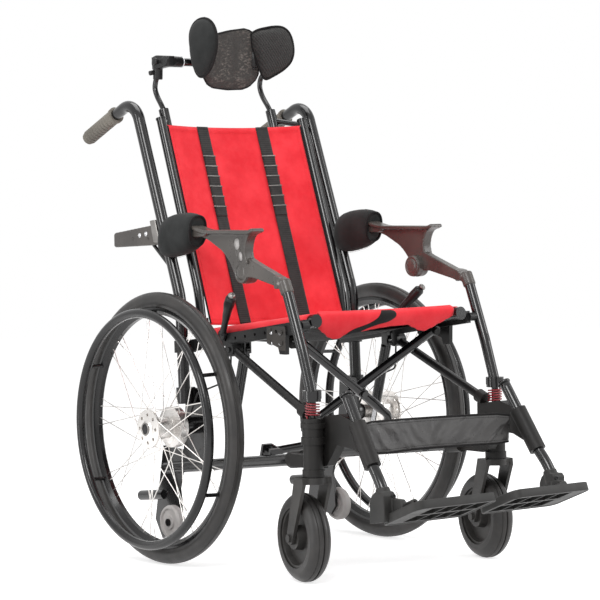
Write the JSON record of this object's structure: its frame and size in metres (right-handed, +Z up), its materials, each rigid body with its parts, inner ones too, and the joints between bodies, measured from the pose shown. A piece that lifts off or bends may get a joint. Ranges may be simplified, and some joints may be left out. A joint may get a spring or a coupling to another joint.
{
  "type": "tilt-in-space wheelchair",
  "caption": "Folding tilt-in-space wheelchair with sling seat and back, cross brace, tilting seat unit, spoked rear wheels, casters, arm supports, footrests and winged headrest.",
  "frame": {"origin": "floor level at the middle of the chair's footprint", "axes": "+Z up, the sitter faces -Y, +X is the sitter's left"},
  "size_m": [0.6914, 1.1076, 1.122],
  "materials": {
    "frame_paint": "gloss powder coat",
    "moulded_grey": "fine moulded grain",
    "spring_paint": "satin",
    "grip_rubber": "ribbed",
    "neoprene": "smooth knit",
    "bright_steel": "polished",
    "rim_black": "anodised black",
    "hub_aluminium": "polished",
    "tyre_rubber": "matt rubber",
    "caster_plastic": "satin",
    "lever_black": "gloss",
    "pale_plastic": "satin",
    "red_fabric": "woven",
    "black_fabric": "woven",
    "headrest_mesh": "open spacer mesh"
  },
  "bodies": {
    "frame_right": {"side_frame_right": "frame_paint", "side_rail_right": "frame_paint", "caster_housing_right": "moulded_grey", "front_tube_right": "frame_paint", "front_spring_right": "spring_paint", "push_tube_right": "frame_paint", "grip_right": "grip_rubber", "armrest_right": "moulded_grey", "arm_link_right": "moulded_grey", "arm_pad_right": "neoprene", "calf_strap": "black_fabric"},
    "frame_left": {"side_frame_left": "frame_paint", "side_rail_left": "frame_paint", "caster_housing_left": "moulded_grey", "front_tube_left": "frame_paint", "front_spring_left": "spring_paint", "push_tube_left": "frame_paint", "grip_left": "grip_rubber", "armrest_left": "moulded_grey", "arm_link_left": "moulded_grey", "arm_pad_left": "neoprene"},
    "brace_rear": {"brace_a": "frame_paint"},
    "brace_front": {"brace_b": "frame_paint"},
    "bracket_right": {"seat_bracket_right": "moulded_grey"},
    "bracket_left": {"seat_bracket_left": "moulded_grey"},
    "seat_right": {"seat_tube_right": "frame_paint", "back_tube_right": "frame_paint", "seat_sling": "red_fabric", "back_sling": "red_fabric"},
    "seat_left": {"seat_tube_left": "frame_paint", "back_tube_left": "frame_paint"},
    "headrest": {"headrest_bar": "frame_paint"},
    "head_panel": {"headrest_panel": "headrest_mesh"},
    "head_wing_right": {"headrest_pad_right": "neoprene"},
    "head_wing_left": {"headrest_pad_left": "neoprene"},
    "gas_cylinder_right": {"gas_cylinder_right": "frame_paint"},
    "gas_rod_right": {"gas_rod_right": "bright_steel"},
    "gas_cylinder_left": {"gas_cylinder_left": "frame_paint"},
    "gas_rod_left": {"gas_rod_left": "bright_steel"},
    "rear_wheel_right": {"rear_rim_right": "rim_black", "rear_hub_right": "hub_aluminium", "rear_tyre_right": "tyre_rubber"},
    "fork_right": {"caster_fork_right": "moulded_grey"},
    "caster_right": {"caster_wheel_right": "caster_plastic", "caster_tyre_right": "tyre_rubber"},
    "transit_right": {"transit_wheel_right": "pale_plastic"},
    "brake_right": {"brake_lever_right": "lever_black"},
    "footrest_right": {"footrest_tube_right": "frame_paint"},
    "plate_right": {"footplate_right": "moulded_grey"},
    "rear_wheel_left": {"rear_rim_left": "rim_black", "rear_hub_left": "hub_aluminium", "rear_tyre_left": "tyre_rubber"},
    "fork_left": {"caster_fork_left": "moulded_grey"},
    "caster_left": {"caster_wheel_left": "caster_plastic", "caster_tyre_left": "tyre_rubber"},
    "transit_left": {"transit_wheel_left": "pale_plastic"},
    "brake_left": {"brake_lever_left": "lever_black"},
    "footrest_left": {"footrest_tube_left": "frame_paint"},
    "plate_left": {"footplate_left": "moulded_grey"}
  },
  "joints": [
    {"name": "fold", "type": "hinge", "parent": "frame_right", "child": "brace_rear", "pos_m": [-0.182, -0.06675, 0.2402], "axis": [0, -0.9563, -0.2924], "range_deg": [0, 36.5], "deforming": ["seat_sling", "back_sling", "calf_strap"]},
    {"name": "fold_cross", "type": "hinge", "parent": "brace_rear", "child": "brace_front", "pos_m": [0, -0.10197, 0.3554], "axis": [0, -0.9563, -0.2924], "range_deg": [-73.5, 0.5]},
    {"name": "fold_left", "type": "hinge", "parent": "brace_front", "child": "frame_left", "pos_m": [0.182, -0.06675, 0.2402], "axis": [0, -0.9563, -0.2924], "range_deg": [-0.5, 37]},
    {"name": "lift_right", "type": "hinge", "parent": "brace_front", "child": "bracket_right", "pos_m": [-0.182, -0.13719, 0.4706], "axis": [0, -0.9563, -0.2924], "range_deg": [-0.5, 37]},
    {"name": "lift_left", "type": "hinge", "parent": "brace_rear", "child": "bracket_left", "pos_m": [0.182, -0.13719, 0.4706], "axis": [0, -0.9563, -0.2924], "range_deg": [-37, 0.5]},
    {"name": "tilt", "type": "hinge", "parent": "bracket_right", "child": "seat_right", "pos_m": [-0.182, -0.10397, 0.4715], "axis": [-1, 0, 0], "range_deg": [0, 20]},
    {"name": "tilt_left", "type": "hinge", "parent": "bracket_left", "child": "seat_left", "pos_m": [0.182, -0.10397, 0.4715], "axis": [-1, 0, 0], "range_deg": [-0.5, 20.5]},
    {"name": "gas_top_right", "type": "hinge", "parent": "seat_right", "child": "gas_cylinder_right", "pos_m": [-0.186, 0.03103, 0.445], "axis": [1, 0, 0], "range_deg": [-0.5, 28.6]},
    {"name": "gas_foot_right", "type": "hinge", "parent": "frame_right", "child": "gas_rod_right", "pos_m": [-0.186, 0.10295, 0.20975], "axis": [1, 0, 0], "range_deg": [-0.5, 8.6]},
    {"name": "gas_top_left", "type": "hinge", "parent": "seat_left", "child": "gas_cylinder_left", "pos_m": [0.186, 0.03103, 0.445], "axis": [1, 0, 0], "range_deg": [-0.5, 28.6]},
    {"name": "gas_foot_left", "type": "hinge", "parent": "frame_left", "child": "gas_rod_left", "pos_m": [0.186, 0.10295, 0.20975], "axis": [1, 0, 0], "range_deg": [-0.5, 8.6]},
    {"name": "rear_roll_right", "type": "hinge", "parent": "frame_right", "child": "rear_wheel_right", "pos_m": [-0.2893, 0.19103, 0.2815], "axis": [1, 0, 0], "continuous": true},
    {"name": "swivel_right", "type": "hinge", "parent": "frame_right", "child": "fork_right", "pos_m": [-0.236, -0.25597, 0.23], "axis": [0, 0, 1], "continuous": true},
    {"name": "caster_roll_right", "type": "hinge", "parent": "fork_right", "child": "caster_right", "pos_m": [-0.22801, -0.21067, 0.0875], "axis": [0.9848, -0.1736, 0], "continuous": true},
    {"name": "transit_roll_right", "type": "hinge", "parent": "frame_right", "child": "transit_right", "pos_m": [-0.222, 0.25703, 0.073], "axis": [1, 0, 0], "continuous": true},
    {"name": "brake_right", "type": "hinge", "parent": "frame_right", "child": "brake_right", "pos_m": [-0.217, 0.06703, 0.475], "axis": [-1, 0, 0], "range_deg": [0, 40]},
    {"name": "footrest_right", "type": "slide", "parent": "frame_right", "child": "footrest_right", "axis": [-0.0565, -0.556, -0.8293], "range_m": [-0.02, 0.04]},
    {"name": "plate_right", "type": "hinge", "parent": "footrest_right", "child": "plate_right", "pos_m": [-0.188, -0.49097, 0.172], "axis": [0, -0.9336, 0.3584], "range_deg": [-0.5, 90.5]},
    {"name": "rear_roll_left", "type": "hinge", "parent": "frame_left", "child": "rear_wheel_left", "pos_m": [0.2893, 0.19103, 0.2815], "axis": [1, 0, 0], "continuous": true},
    {"name": "swivel_left", "type": "hinge", "parent": "frame_left", "child": "fork_left", "pos_m": [0.236, -0.25597, 0.23], "axis": [0, 0, 1], "continuous": true},
    {"name": "caster_roll_left", "type": "hinge", "parent": "fork_left", "child": "caster_left", "pos_m": [0.24399, -0.21067, 0.0875], "axis": [0.9848, -0.1736, 0], "continuous": true},
    {"name": "transit_roll_left", "type": "hinge", "parent": "frame_left", "child": "transit_left", "pos_m": [0.222, 0.25703, 0.073], "axis": [1, 0, 0], "continuous": true},
    {"name": "brake_left", "type": "hinge", "parent": "frame_left", "child": "brake_left", "pos_m": [0.217, 0.06703, 0.475], "axis": [-1, 0, 0], "range_deg": [0, 40]},
    {"name": "footrest_left", "type": "slide", "parent": "frame_left", "child": "footrest_left", "axis": [0.0565, -0.556, -0.8293], "range_m": [-0.02, 0.04]},
    {"name": "plate_left", "type": "hinge", "parent": "footrest_left", "child": "plate_left", "pos_m": [0.188, -0.49097, 0.172], "axis": [0, 0.9336, -0.3584], "range_deg": [-0.5, 90.5]},
    {"name": "headrest_height", "type": "slide", "parent": "seat_right", "child": "headrest", "axis": [0, 0.3309, 0.9437], "range_m": [0, 0.035]},
    {"name": "headrest_tilt", "type": "hinge", "parent": "headrest", "child": "head_panel", "pos_m": [0, 0.35203, 1.058], "axis": [1, 0, 0], "range_deg": [-20, 20]},
    {"name": "wing_right", "type": "hinge", "parent": "head_panel", "child": "head_wing_right", "pos_m": [-0.06795, 0.31105, 1.058], "axis": [0, 0, 1], "range_deg": [-15, 15]},
    {"name": "wing_left", "type": "hinge", "parent": "head_panel", "child": "head_wing_left", "pos_m": [0.06795, 0.33501, 1.058], "axis": [0, 0, 1], "range_deg": [-15, 15]}
  ],
  "couplings": [
    {"joint": "fold_cross", "follows": "fold", "ratio": -2},
    {"joint": "fold_left", "follows": "fold", "ratio": 1},
    {"joint": "lift_right", "follows": "fold", "ratio": 1},
    {"joint": "lift_left", "follows": "fold", "ratio": -1},
    {"joint": "tilt_left", "follows": "tilt", "ratio": 1},
    {"joint": "gas_top_right", "follows": "tilt", "ratio": 1.4027},
    {"joint": "gas_foot_right", "follows": "tilt", "ratio": 0.4027},
    {"joint": "gas_top_left", "follows": "tilt", "ratio": 1.4027},
    {"joint": "gas_foot_left", "follows": "tilt", "ratio": 0.4027},
    {"joint": "plate_right", "follows": "fold", "ratio": 2.4658},
    {"joint": "plate_left", "follows": "fold", "ratio": 2.4658}
  ]
}
